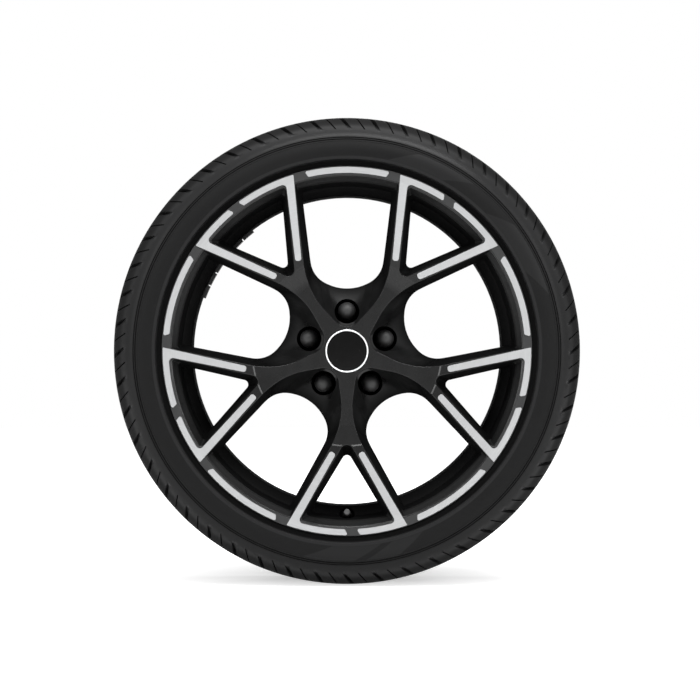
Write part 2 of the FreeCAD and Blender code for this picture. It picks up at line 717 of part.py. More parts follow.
def hub_cutters():
    """Centre bore, cap bore and seat, and the lightening pockets behind the stems."""
    cap_seat_r = CAP_DIAMETER / 2 + CAP_SEAT_CLEARANCE
    ledge_z = CAP_SEAT_Z - CAP_BORE_LENGTH
    bore_top = OFFSET + CENTRE_BORE_DEPTH
    cutters = [
        cylinder(CENTRE_BORE / 2, OFFSET - PAST, bore_top),
        cylinder(CAP_CAVITY / 2, bore_top - PAST, ledge_z),
        cylinder(CAP_BORE / 2, ledge_z - PAST, CAP_SEAT_Z + PAST),
        cylinder(cap_seat_r, CAP_SEAT_Z, LIP_Z),
    ]
    half = HUB_POCKET_LENGTH / 2
    width = HUB_POCKET_WIDTH / 2
    corner = HUB_POCKET_CORNER
    outline = [(BOLT_R - half, -width, corner), (BOLT_R + half, -width, corner)]
    outline += [(BOLT_R + half, width, corner), (BOLT_R - half, width, corner)]
    for angle in SPOKE_ANGLES:
        face = Part.Face(rounded_wire(outline, OFFSET - PAST, angle))
        cutters.append(face.extrude(point(0, 0, HUB_POCKET_DEPTH + PAST)))
    return cutters


def valve_place(shape):
    """Moves a piece made along +Z, with its seat at the origin, to the valve's place in the rim."""
    seat_r = LEDGE_RADIUS - VALVE_TIP_DROP + VALVE_LENGTH * sin(radians(VALVE_LEAN))
    seat_z = VALVE_TIP_Z - VALVE_LENGTH * cos(radians(VALVE_LEAN))
    shape.rotate(ORIGIN, point(0, 1, 0), -VALVE_LEAN)
    shape.translate(point(seat_r, 0, seat_z))
    shape.rotate(ORIGIN, AXLE, FIRST_SPOKE_ANGLE)
    return shape


def valve_boss():
    """Thickened wall round the valve's pocket, on the tyre's side of the barrel only."""
    boss = valve_place(cylinder(VALVE_POCKET / 2 + VALVE_BOSS_WALL, -VALVE_WALL, VALVE_BOSS_LENGTH))
    inside = turned([
        (0, OFFSET),
        (WELL_WALL_R + PAST, OFFSET),
        (WELL_WALL_R + PAST, LEDGE_Z - LEDGE_HEIGHT + PAST),
        (LEDGE_RADIUS + PAST, LEDGE_Z + PAST),
        (NECK_RADIUS + PAST, NECK_Z),
        (0, NECK_Z),
    ])
    return boss.cut(inside)


def valve_cutters():
    hole = valve_place(cylinder(VALVE_HOLE / 2, -VALVE_WALL - 2 * VALVE_BULB_HEIGHT, PAST))
    pocket = valve_place(cylinder(VALVE_POCKET / 2, 0, VALVE_LENGTH + VALVE_POCKET))
    return [hole, pocket]


def rim():
    body = barrel().fuse(spokes()).fuse(valve_boss())
    body = body.cut(bolt_cutters() + hub_cutters() + valve_cutters())
    return body.fuse(strips()).removeSplitter()


# Tyre


def crown(z):
    """Radius of the tread at height z."""
    return CROWN_R - CROWN_DROP * (z / TREAD_HALF_WIDTH)**2


def tyre_side():
    """Corners of the tyre's front half, from the edge of the tread round the bead to the chamber's roof."""
    half = TYRE_WIDTH / 2
    protector_r = FLANGE_R + PROTECTOR_STAND
    protector_z = half - PROTECTOR_INSET
    groove_z = LIP_Z - TYRE_GROOVE_DROP
    heel_z = FLANGE_Z - TYRE_RIM_GAP
    top_r = FLANGE_R + TYRE_RIM_GAP
    widest_r = CROWN_R - WIDEST_DROP
    return [
        (TREAD_EDGE_R, TREAD_HALF_WIDTH, TREAD_EDGE_ROUND),
        (CROWN_R - SHOULDER_DROP, half - SHOULDER_INSET, SHOULDER_ROUND),
        (widest_r, half, WIDEST_ROUND),
        (protector_r + PROTECTOR_RISE, protector_z, 0),
        (protector_r - PROTECTOR_FALL, protector_z, 0),
        (FLANGE_R + PROTECTOR_FOOT, groove_z, 0),
        (top_r, groove_z - TYRE_GROOVE_SLOPE, 0),
        (top_r, heel_z, FLANGE_RADIUS + TYRE_RIM_GAP),
        (SEAT_R + TYRE_RIM_GAP, heel_z, BEAD_FILLET),
        (SEAT_FOOT_R + TYRE_RIM_GAP, SEAT_END_Z, 0),
        (SEAT_R + BEAD_TOE_HEIGHT, SEAT_END_Z + BEAD_TOE_RISE, 0),
        (protector_r, half - SIDEWALL - SIDEWALL_FOOT_EXTRA, 0),
        (widest_r + CHAMBER_RISE, half - SIDEWALL, 0),
        (TREAD_EDGE_R - TREAD_THICKNESS, TREAD_HALF_WIDTH - CHAMBER_INSET, 0),
    ]


def tread_grooves():
    """Corners of the tread with its four grooves, from the rear to the front."""
    mouth = TREAD_GROOVE_WIDTH / 2
    floor = mouth - TREAD_GROOVE_TAPER
    corners = []
    for place in TREAD_GROOVE_PLACES:
        floor_r = crown(place) - TREAD_GROOVE_DEPTH
        corners += [(crown(place - mouth), place - mouth, 0), (floor_r, place - floor, 0)]
        corners += [(floor_r, place + floor, 0), (crown(place + mouth), place + mouth, 0)]
    return corners


def tyre():
    side = tyre_side()
    roof = [(CROWN_R - TREAD_THICKNESS, 0, 0)]
    other_side = [(r, -z, fillet) for r, z, fillet in reversed(side)]
    return revolved(tread_grooves() + side + roof + other_side)


# Centre cap


def centre_cap():
    edge_r = CAP_DIAMETER / 2
    disc_r = edge_r - CAP_RING_WIDTH
    top_z = CAP_SEAT_Z + CAP_FLANGE + CAP_RING_HEIGHT - CAP_RING_STAND
    finger_r = CAP_BORE / 2 - CAP_CLEARANCE
    barb_z = CAP_SEAT_Z - CAP_BORE_LENGTH - CAP_CLEARANCE
    end_z = CAP_SEAT_Z - CAP_FINGER_LENGTH
    inner_r = finger_r - CAP_FINGER_WALL
    span = disc_r - CAP_FLAT
    dome_r = (span**2 + CAP_DOME**2) / (2 * CAP_DOME)
    arc_mid_z = top_z + sqrt(dome_r**2 - (span / 2)**2) - dome_r
    rim_z = top_z - CAP_DOME
    outline = [
        (disc_r, rim_z), (disc_r, CAP_SEAT_Z + CAP_FLANGE), (edge_r, CAP_SEAT_Z + CAP_FLANGE),
        (edge_r, CAP_SEAT_Z), (finger_r, CAP_SEAT_Z), (finger_r, barb_z),
        (finger_r + CAP_BARB, barb_z - CAP_FINGER_TAPER), (finger_r - CAP_FINGER_TAPER, end_z),
        (inner_r, end_z), (inner_r, CAP_SEAT_Z), (0, CAP_SEAT_Z), (0, top_z), (CAP_FLAT, top_z),
    ]
    points = [point(r, 0, z) for r, z in outline]
    edges = [Part.LineSegment(a, b).toShape() for a, b in zip(points, points[1:])]
    edges.append(Part.Arc(points[-1], point(CAP_FLAT + span / 2, 0, arc_mid_z), points[0]).toShape())
    body = Part.Face(Part.Wire(edges)).revolve(ORIGIN, AXLE, 360)
    slots = []
    for i in range(CAP_FINGER_COUNT // 2):
        slot = Part.makeBox(CAP_DIAMETER, CAP_FINGER_SLOT, CAP_FINGER_LENGTH)
        slot.translate(point(-CAP_DIAMETER / 2, -CAP_FINGER_SLOT / 2, end_z - PAST))
        slot.rotate(ORIGIN, AXLE, i * 360.0 / CAP_FINGER_COUNT)
        slots.append(slot)
    return body.cut(slots)


def cap_trim_ring():
    outer_r = CAP_DIAMETER / 2
    inner_r = outer_r - CAP_RING_WIDTH
    low_z = CAP_SEAT_Z + CAP_FLANGE
    high_z = low_z + CAP_RING_HEIGHT
    return revolved([
        (inner_r, low_z, 0),
        (outer_r, low_z, 0),
        (outer_r, high_z, CAP_RING_ROUND),
        (inner_r, high_z, CAP_RING_ROUND),
    ])


def cap_spring_ring():
    wire_r = SPRING_WIRE / 2
    ring_r = CAP_BORE / 2 - CAP_CLEARANCE - CAP_FINGER_WALL - wire_r - SPRING_CLEARANCE
    z = CAP_SEAT_Z - CAP_BORE_LENGTH - SPRING_DEPTH
    return Part.makeTorus(ring_r, wire_r, point(0, 0, z))


# Bolts, seat rings and bolt caps


def hexagon(across_flats, z_low, z_high):
    corner_r = across_flats / 2 / cos(radians(30))
    corners = [polar(corner_r, 60 * i, z_low) for i in range(7)]
    return Part.Face(Part.makePolygon(corners)).extrude(point(0, 0, z_high - z_low))


def wheel_bolt():
    end_z = OFFSET - BOLT_REACH
    thread_r = BOLT_THREAD / 2
    turned_part = turned([
        (0, end_z),
        (thread_r - BOLT_POINT, end_z),
        (thread_r, end_z + BOLT_POINT),
        (thread_r, OFFSET - THREAD_START),
        (BOLT_SHANK / 2, OFFSET - THREAD_START),
        (BOLT_SHANK / 2, RING_TOP_Z),
        (BOLT_FLANGE / 2, RING_TOP_Z),
        (BOLT_FLANGE / 2 - BOLT_FLANGE_TAPER, FLANGE_TOP_Z),
        (0, FLANGE_TOP_Z),
    ])
    head_top = FLANGE_TOP_Z + BOLT_HEAD
    head = hexagon(BOLT_HEX, RING_TOP_Z + PAST, head_top)
    crown_r = BOLT_HEX / 2 / cos(radians(30))
    chamfer = turned([
        (0, RING_TOP_Z),
        (crown_r + PAST, RING_TOP_Z),
        (crown_r + PAST, head_top - BOLT_HEAD_CHAMFER),
        (BOLT_HEX / 2 - BOLT_HEAD_CHAMFER / 3, head_top),
        (0, head_top),
    ])
    return turned_part.fuse(head.common(chamfer)).removeSplitter()


def seat_ring():
    """Loose ring with a ball-shaped underside that matches the seat in the rim."""
    outer_r = SEAT_RING_DIAMETER / 2 - SEAT_RING_CLEARANCE
    ball_r = BALL_SEAT_RADIUS - BALL_CLEARANCE
    bore_r = SEAT_RING_BORE / 2
    low_z = BALL_CENTRE_Z - sqrt(ball_r**2 - bore_r**2)
    high_z = BALL_CENTRE_Z - sqrt(ball_r**2 - outer_r**2)
    middle_r = (bore_r + outer_r) / 2
    middle_z = BALL_CENTRE_Z - sqrt(ball_r**2 - middle_r**2)
    a, b = point(bore_r, 0, low_z), point(outer_r, 0, high_z)
    c, d = point(outer_r, 0, RING_TOP_Z), point(bore_r, 0, RING_TOP_Z)
    edges = [Part.Arc(a, point(middle_r, 0, middle_z), b).toShape()]
    edges += [Part.LineSegment(s, e).toShape() for s, e in ((b, c), (c, d), (d, a))]
    return Part.Face(Part.Wire(edges)).revolve(ORIGIN, AXLE, 360)


def bolt_cap():
    """Domed cap that grips the bolt's hexagon."""
    outer_r = BOLT_CAP_DIAMETER / 2
    inner_r = BOLT_HEX / 2 / cos(radians(30)) + BOLT_CAP_CLEARANCE
    foot_z = FLANGE_TOP_Z + BOLT_CAP_SKIRT_GAP
    roof_z = FLANGE_TOP_Z + BOLT_HEAD + BOLT_CAP_CLEARANCE
    top_z = foot_z + BOLT_CAP_HEIGHT
    dome_z = top_z - outer_r
    corners = [(outer_r, dome_z), (outer_r, foot_z), (inner_r, foot_z)]
    corners += [(inner_r, roof_z), (0, roof_z), (0, top_z)]
    points = [point(r, 0, z) for r, z in corners]
    edges = [Part.LineSegment(a, b).toShape() for a, b in zip(points, points[1:])]
    middle = point(outer_r * cos(pi / 4), 0, dome_z + outer_r * sin(pi / 4))
    edges.append(Part.Arc(points[-1], middle, points[0]).toShape())
    return Part.Face(Part.Wire(edges)).revolve(ORIGIN, AXLE, 360)


def at_bolts(shape):
    """Copies of a piece made on the axle, one at each bolt."""
    copies = []
    for angle in BOLT_ANGLES:
        copy = shape.copy()
        copy.translate(polar(BOLT_R, angle))
        copies.append(copy)
    return copies


# Valve, made along +Z with the rim's outer seat at the origin


def valve_body():
    neck_r = VALVE_HOLE / 2 - VALVE_NECK_CLEARANCE
    bulb_r = VALVE_BULB / 2
    root_r = VALVE_STEM_ROOT / 2
    base_z = -VALVE_WALL - VALVE_BULB_HEIGHT
    return turned([
        (root_r, base_z),
        (bulb_r - VALVE_BULB_CHAMFER, base_z),
        (bulb_r, base_z + VALVE_BULB_CHAMFER),
        (bulb_r, -VALVE_WALL),
        (neck_r, -VALVE_WALL),
        (neck_r, 0),
        (VALVE_SHOULDER / 2, 0),
        (VALVE_SHOULDER / 2, VALVE_SHOULDER_HEIGHT),
        (VALVE_RUBBER_TOP / 2, VALVE_RUBBER_LENGTH - VALVE_RUBBER_COLLAR),
        (VALVE_RUBBER_TOP / 2, VALVE_RUBBER_LENGTH),
        (root_r, VALVE_RUBBER_LENGTH),
    ])


def valve_stem():
    base_z = -VALVE_WALL - VALVE_BULB_HEIGHT
    thread_r = VALVE_THREAD / 2
    return turned([
        (VALVE_BORE / 2, base_z), (VALVE_STEM_ROOT / 2, base_z), (VALVE_STEM_ROOT / 2, VALVE_RUBBER_LENGTH),
        (thread_r, VALVE_RUBBER_LENGTH), (thread_r, VALVE_STEM_LENGTH - VALVE_STEM_CHAMFER),
        (thread_r - VALVE_STEM_CHAMFER, VALVE_STEM_LENGTH), (VALVE_BORE / 2, VALVE_STEM_LENGTH),
    ])


def valve_core():
    outer_r = VALVE_BORE / 2 - CORE_CLEARANCE
    top_z = VALVE_STEM_LENGTH - CORE_DROP
    return turned([
        (CORE_BORE / 2, top_z - CORE_LENGTH), (outer_r, top_z - CORE_LENGTH),
        (outer_r, top_z), (CORE_BORE / 2, top_z),
    ])


def valve_pin():
    pin_r = PIN_DIAMETER / 2
    core_foot = VALVE_STEM_LENGTH - CORE_DROP - CORE_LENGTH
    top_z = VALVE_STEM_LENGTH - PIN_DROP
    return turned([
        (0, core_foot - PIN_HEAD_LENGTH), (PIN_HEAD / 2, core_foot - PIN_HEAD_LENGTH),
        (PIN_HEAD / 2, core_foot), (pin_r, core_foot), (pin_r, top_z - PIN_TIP_HEIGHT),
        (pin_r - PIN_TIP_TAPER, top_z), (0, top_z),
    ])


def valve_cap():
    outer_r = VALVE_CAP_DIAMETER / 2
    inner_r = VALVE_THREAD / 2 + VALVE_CAP_CLEARANCE
    roof_z = VALVE_STEM_LENGTH + VALVE_CAP_CLEARANCE + VALVE_SEAL_THICKNESS
    return revolved([
        (inner_r, VALVE_CAP_SKIRT, 0), (outer_r, VALVE_CAP_SKIRT, 0),
        (outer_r - VALVE_CAP_DRAFT, VALVE_LENGTH, VALVE_CAP_CROWN), (0, VALVE_LENGTH, 0),
        (0, roof_z, 0), (inner_r, roof_z, 0),
    ])


def valve_cap_seal():
    outer_r = VALVE_THREAD / 2 - VALVE_SEAL_CLEARANCE
    low_z = VALVE_STEM_LENGTH + VALVE_CAP_CLEARANCE
    high_z = low_z + VALVE_SEAL_THICKNESS
    inner_r = VALVE_SEAL_HOLE / 2
    return turned([(inner_r, low_z), (outer_r, low_z), (outer_r, high_z), (inner_r, high_z)])


# Balance weights


def balance_weight(wall_r, middle_z, angle):
    """A strip of steel blocks on one tape, stuck to the inside of the barrel."""
    outer = cylinder(wall_r, middle_z - WEIGHT_WIDTH / 2, middle_z + WEIGHT_WIDTH / 2)
    step = degrees((WEIGHT_LENGTH + WEIGHT_GAP) / wall_r)
    length = degrees(WEIGHT_LENGTH / wall_r)

    def sector(start, sweep, thickness):
        inner = cylinder(wall_r - thickness, middle_z - WEIGHT_WIDTH, middle_z + WEIGHT_WIDTH)
        foot = point(0, 0, middle_z - WEIGHT_WIDTH)
        wedge = Part.makeCylinder(wall_r + PAST, 2 * WEIGHT_WIDTH, foot, AXLE, sweep)
        wedge.rotate(ORIGIN, AXLE, start)
        return outer.cut(inner).common(wedge)

    tape = sector(angle, step * (WEIGHT_COUNT - 1) + length, WEIGHT_TAPE)
    blocks = [sector(angle + i * step, length, WEIGHT_TAPE + WEIGHT_THICKNESS) for i in range(WEIGHT_COUNT)]
    return tape.fuse(blocks).removeSplitter()


# Assembly


def rear_wall_radius(z):
    """Radius of the barrel's inner wall behind the drop centre, at height z."""
    mouth, root = rear_wall()
    return blend(root[0], mouth[0], (z - root[1]) / (mouth[1] - root[1]))


def pieces():
    rear_r = rear_wall_radius(WEIGHT_REAR_Z + WEIGHT_WIDTH / 2)
    made = {
        "rim": rim(),
        "tyre": tyre(),
        "centre_cap": centre_cap(),
        "cap_trim_ring": cap_trim_ring(),
        "cap_spring_ring": cap_spring_ring(),
        "wheel_bolts": Part.makeCompound(at_bolts(wheel_bolt())),
        "bolt_seat_rings": Part.makeCompound(at_bolts(seat_ring())),
        "valve_body": valve_place(valve_body()),
        "valve_stem": valve_place(valve_stem()),
        "valve_core": valve_place(valve_core()),
        "valve_pin": valve_place(valve_pin()),
        "valve_cap": valve_place(valve_cap()),
        "valve_cap_seal": valve_place(valve_cap_seal()),
        "balance_weight_front": balance_weight(WELL_WALL_R, WEIGHT_FRONT_Z, WEIGHT_FRONT_ANGLE),
        "balance_weight_rear": balance_weight(rear_r, WEIGHT_REAR_Z, WEIGHT_REAR_ANGLE),
    }
    for i, cap in enumerate(at_bolts(bolt_cap())):
        made[f"bolt_cap_{i + 1}"] = cap
    return made


def stood_up(shape):
    """Turns the lying wheel upright: the outer face looks along -Y."""
    shape.rotate(ORIGIN, point(1, 0, 0), 90)
    return shape


os.makedirs("parts", exist_ok=True)
for name, shape in pieces().items():
    stood_up(shape).exportStep(f"parts/{name}.step")
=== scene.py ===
"""Looks of a car wheel: a forked-spoke alloy rim with its tyre, caps, bolts and valve.

The frame's +Y runs along the axle towards the car, so the outer face looks along -Y, and +Z is up.
Lengths are in metres unless a name says otherwise. A wheel profile is a list of (radius, height) points,
where height is counted along the axle from the wheel's centre plane towards the outer face.
"""
import bpy
from math import cos, pi, radians, sin, tan
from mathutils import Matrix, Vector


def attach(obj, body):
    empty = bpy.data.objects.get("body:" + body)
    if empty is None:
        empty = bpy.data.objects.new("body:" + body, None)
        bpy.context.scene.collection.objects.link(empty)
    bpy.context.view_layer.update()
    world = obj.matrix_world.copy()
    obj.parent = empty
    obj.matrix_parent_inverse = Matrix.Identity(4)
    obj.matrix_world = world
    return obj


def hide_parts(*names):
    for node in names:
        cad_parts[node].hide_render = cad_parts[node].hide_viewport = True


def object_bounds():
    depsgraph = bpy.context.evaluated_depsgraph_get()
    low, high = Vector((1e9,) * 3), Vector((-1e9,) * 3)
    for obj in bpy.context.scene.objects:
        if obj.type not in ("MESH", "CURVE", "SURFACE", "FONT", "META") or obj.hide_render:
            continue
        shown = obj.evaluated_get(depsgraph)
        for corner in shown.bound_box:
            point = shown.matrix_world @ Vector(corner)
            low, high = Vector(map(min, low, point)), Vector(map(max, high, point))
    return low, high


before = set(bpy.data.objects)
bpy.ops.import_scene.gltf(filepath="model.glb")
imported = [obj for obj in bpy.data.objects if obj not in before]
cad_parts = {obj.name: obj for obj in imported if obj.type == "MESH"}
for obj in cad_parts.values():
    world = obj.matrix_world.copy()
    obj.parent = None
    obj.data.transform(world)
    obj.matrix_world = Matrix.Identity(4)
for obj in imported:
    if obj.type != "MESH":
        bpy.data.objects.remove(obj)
cad_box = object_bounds()
scene = bpy.context.scene
scene.view_settings.view_transform = "Standard"

# Camera: straight on, from well back
PHOTO_SIZE_PX = 700
WHEEL_CENTRE_PX = (346.9, 351.0)
LIP_PLANE_Y = -0.120
CAMERA_DISTANCE = 4.5
LIP_PLANE_SCALE = 0.0013955
SENSOR_WIDTH_MM = 36.0

# Rim places that its finish depends on
LIP_Z = 0.11995
LIP_INNER_RADIUS = 0.2465
ARM_BED_RADIUS = 0.134
ARM_BED_Z = 0.106
STRIP_HEIGHT = 0.0008
STRIP_START_RADIUS = 0.135
LIP_FACE_DEPTH = 0.0004
# Front faces deeper than these heights, such as the bolt pockets' floors, take the walls' near-black metal:
# painted shade in recesses
RECESS_SHADE_HEIGHTS = (0.050, 0.075)
REAR_HEIGHTS = (0.040, -0.100)
FRONT_FACING = (-0.25, -0.75)
REAR_FACING = (0.25, 0.75)

# Rim finish: grey levels and roughness, as ranges where a pattern varies them
PATTERN_RANGE = (0.3, 0.7)
LINES_RANGE = (0.25, 0.75)
DUST_SCALE = 60.0
PEEL_SCALE = 500.0
PEEL_SHARE = 0.1
TURNED_LINE_SCALES = (2600.0, 9.0, 300.0)
# The near-black metal colour of the walls and recesses keeps their reflections dark: painted shade
WALL_SHADE_LEVELS = (0.006, 0.009)
REAR_LEVELS = (0.022, 0.030)
FRONT_LEVELS = (0.006, 0.009)
LIP_LEVEL = 0.045
TURNED_LEVELS = (0.42, 0.51)
WALL_ROUGHNESS = (0.90, 0.98)
REAR_ROUGHNESS = 0.6
FRONT_ROUGHNESS = (0.17, 0.22)
LIP_ROUGHNESS = 0.45
TURNED_ROUGHNESS = (0.42, 0.52)
REAR_PAINT_SHARE = 0.5
TURNED_METALLIC = 0.6

# Tyre outline
TYRE_RADIUS = 0.3305
TREAD_HALF_WIDTH = 0.097
CROWN_DROP = 0.0034
EDGE_ROUND = 0.018
CROWN_PLACES = (0.0, 0.020, 0.040, 0.058, 0.072)
SIDE_CORNERS = (
    (0.306, 0.119, 0.040),
    (0.284, 0.1275, 0.030),
    (0.271, 0.1266, 0.0006),
    (0.268, 0.1266, 0.0006),
    (0.2655, 0.119, 0.0012),
    (0.25895, 0.118, 0.0006),
    (0.25895, 0.1078, 0.00965),
    (0.24145, 0.1078, 0.004),
    (0.23970, 0.08795, 0.0),
)
CHAMBER = ((0.2493, 0.08995), (0.269, 0.1145), (0.290, 0.1185), (0.3126, 0.089), (0.316, 0.0))
ARC_STEPS = 5
SHARP_ANGLE = radians(32)

# Tread: each groove with the shares of notch and slit depth in the rib before it, and the rows on the ribs,
# each as (height, share of the wide notch's depth, share of the slit's depth)
GROOVE_WIDTH = 0.011
GROOVE_DEPTH = 0.0075
GROOVE_TAPER = 0.0012
RIB_CHAMFER = 0.0006
GROOVES = ((0.020, 0.0, 0.6), (0.058, 0.6, 0.7))
RIB_ROWS = (
    (0.0058, 0.0, 0.0), (0.0066, 0.0, 0.6),
    (0.0310, 0.0, 0.0), (0.0317, 0.0, 0.7), (0.0410, 0.0, 0.7), (0.0422, 0.6, 0.7),
    (0.0670, 0.0, 0.0), (0.0685, 0.9, 0.0), (0.0715, 1.0, 0.0), (0.0722, 1.0, 1.0), (0.0800, 1.0, 1.0),
)

# Shoulder notches and ring lines of the tyre
NOTCH_PAIRS = 48
NOTCH_WIDE = 0.0062
NOTCH_NARROW = 0.0022
NOTCH_WIDE_WALL = 0.0011
NOTCH_NARROW_WALL = 0.0004
NOTCH_WIDE_DEPTH = 0.0060
NOTCH_NARROW_DEPTH = 0.0042
NOTCH_FULL_RADIUS = 0.3255
NOTCH_END_RADIUS = 0.308
SLIT_END_RADIUS = 0.3105
SHOULDER_RADII = (
    0.3265, 0.325, 0.323, 0.3205, 0.318, 0.3155, 0.313, 0.3114,
    0.3109, 0.3105, 0.3092, 0.308, 0.3055, 0.303, 0.3005,
)
SLANT_START = 0.060
SLANT_OUTER = 0.55
SLANT_INNER = 0.25
RING_LINES = ((0.2984, 0.0007), (0.2957, 0.0007), (0.2934, -0.0004))
RING_LINE_WIDTH = 0.0012
RING_LINE_EDGE = 0.0003
SIDEWALL_RADII = (0.2905, 0.287, 0.284, 0.281, 0.278, 0.275, 0.2725)

# Sidewall finish: fine ribs, lighter slanted fields (from and to in degrees), a shiny shoulder and the
# protector's crest painted lighter as highlights, and a dull tread edge and the groove by the rim painted
# darker as shade
RIB_PITCH = 0.0016
FIELD_RADII = (0.2725, 0.2925)
FIELD_MIDDLE_RADIUS = 0.282
FIELD_LEAN = 7.0
FIELDS = ((20.0, 41.0), (57.0, 74.0), (-98.0, -83.6), (-80.4, -71.0))
SHOULDER_HIGHLIGHT_RADII = (0.3000, 0.3165)
TREAD_EDGE_RADII = (0.3130, 0.3225)
CREST_RADII = (0.2668, 0.2722)
RIM_GROOVE_RADIUS = 0.2663
GRAIN_SCALE = 1800.0
CLOUD_SCALE = 14.0
TYRE_LEVELS = (0.0065, 0.0090)
TYRE_ROUGHNESS = (0.54, 0.62)

# Looks of the tyre's zones: (grey level, roughness); the crest and shoulder levels are painted highlights,
# and the tread, groove and sunk ring line levels are painted shade
FIELD_LOOK = (0.017, 0.44)
CREST_HIGHLIGHT_LOOK = (0.022, 0.34)
SHOULDER_HIGHLIGHT_LOOK = (0.020, 0.30)
TREAD_EDGE_SHADE_LOOK = (0.0040, 0.72)
RIM_GROOVE_SHADE_LOOK = (0.0015, 0.95)
SUNK_LINE_SHADE_LOOK = (0.0015, 0.95)

# Floor: its glow is painted light, dimmest round the wheel's foot so that the shadow shows there, and rising
# to white further out, where it covers the shadow
SHADOW_REACH = (0.10, 0.42)
SHADOW_MIDDLE_Y = 0.24
FOOT_GLOW = 0.25
FLOOR_SEEN = 0.95
FLOOR_BOUNCE = 0.20
FLOOR_HALF = 9.0

# Light: the even light of the surroundings, and soft lamps as (name, place, width and height, power)
AMBIENT = 0.22
LAMPS = (
    ("key", (0.3, -1.9, 3.0), (3.0, 0.7), 110.0),
    ("left", (-2.6, -2.2, 0.9), (0.5, 2.0), 26.0),
    ("right", (2.6, -2.2, 0.9), (0.5, 2.0), 28.0),
    ("top", (0.0, 0.2, 2.6), (2.4, 1.6), 22.0),
    ("rear", (0.8, 3.6, 1.6), (2.0, 1.2), 30.0),
)


def add(tree, kind, inputs=None, **settings):
    """A new shader node; an input given as a socket is linked, any other value is set."""
    made = tree.nodes.new(kind)
    for key, value in settings.items():
        setattr(made, key, value)
    for key, value in (inputs or {}).items():
        if isinstance(value, bpy.types.NodeSocket):
            tree.links.new(value, made.inputs[key])
        else:
            made.inputs[key].default_value = value
    return made


def calc(tree, operation, *values):
    """Output of a math node."""
    made = add(tree, "ShaderNodeMath", dict(enumerate(values)), operation=operation)
    return made.outputs[0]


def ramp(tree, value, low, high, from_value=0.0, to_value=1.0):
    """Value mapped linearly from the range low..high, and held at its ends."""
    inputs = {"Value": value, "From Min": low, "From Max": high, "To Min": from_value, "To Max": to_value}
    return add(tree, "ShaderNodeMapRange", inputs).outputs["Result"]


def wheel_coordinates(tree):
    """Sockets for the radius, the angle and the height towards the outer face."""
    place = add(tree, "ShaderNodeTexCoord").outputs["Object"]
    parts = add(tree, "ShaderNodeSeparateXYZ", {"Vector": place}).outputs
    squares = calc(tree, "ADD", calc(tree, "POWER", parts["X"], 2.0), calc(tree, "POWER", parts["Z"], 2.0))
    radius = calc(tree, "SQRT", squares)
    angle = calc(tree, "ARCTAN2", parts["Z"], parts["X"])
    height = calc(tree, "MULTIPLY", parts["Y"], -1.0)
    return place, radius, angle, height


def noise(tree, vector, scale, detail=3.0, roughness=0.5):
    inputs = {"Vector": vector, "Scale": scale, "Detail": detail, "Roughness": roughness}
    return add(tree, "ShaderNodeTexNoise", inputs).outputs["Fac"]


def varied(tree, pattern, low, high):
    """A value that a noise pattern varies between two limits."""
    return ramp(tree, pattern, PATTERN_RANGE[0], PATTERN_RANGE[1], low, high)


def bump(tree, height, strength, distance):
    inputs = {"Height": height, "Strength": strength, "Distance": distance}
    return add(tree, "ShaderNodeBump", inputs).outputs["Normal"]


def grey(tree, value, tint=(1.0, 1.0, 1.0)):
    """A colour from a grey level, lightly tinted."""
    red, green, blue = [calc(tree, "MULTIPLY", value, level) for level in tint]
    channels = {"Red": red, "Green": green, "Blue": blue}
    return add(tree, "ShaderNodeCombineColor", channels).outputs["Color"]


def new_material(name):
    """An empty node material: (material, tree, surface input of its output)."""
    made = bpy.data.materials.new(name)
    made.use_nodes = True
    tree = made.node_tree
    tree.nodes.clear()
    output = tree.nodes.new("ShaderNodeOutputMaterial")
    return made, tree, output.inputs["Surface"]


def principled(tree, **inputs):
    """Output of a surface shader whose inputs are given by their names in lower case."""
    named = {key.replace("_", " ").title().replace("Ior", "IOR"): value for key, value in inputs.items()}
    return add(tree, "ShaderNodeBsdfPrincipled", named).outputs["BSDF"]


def choose(tree, share, low, high):
    """Mix of two grey levels or sockets."""
    return add(tree, "ShaderNodeMix", {0: share, 2: low, 3: high}).outputs[0]


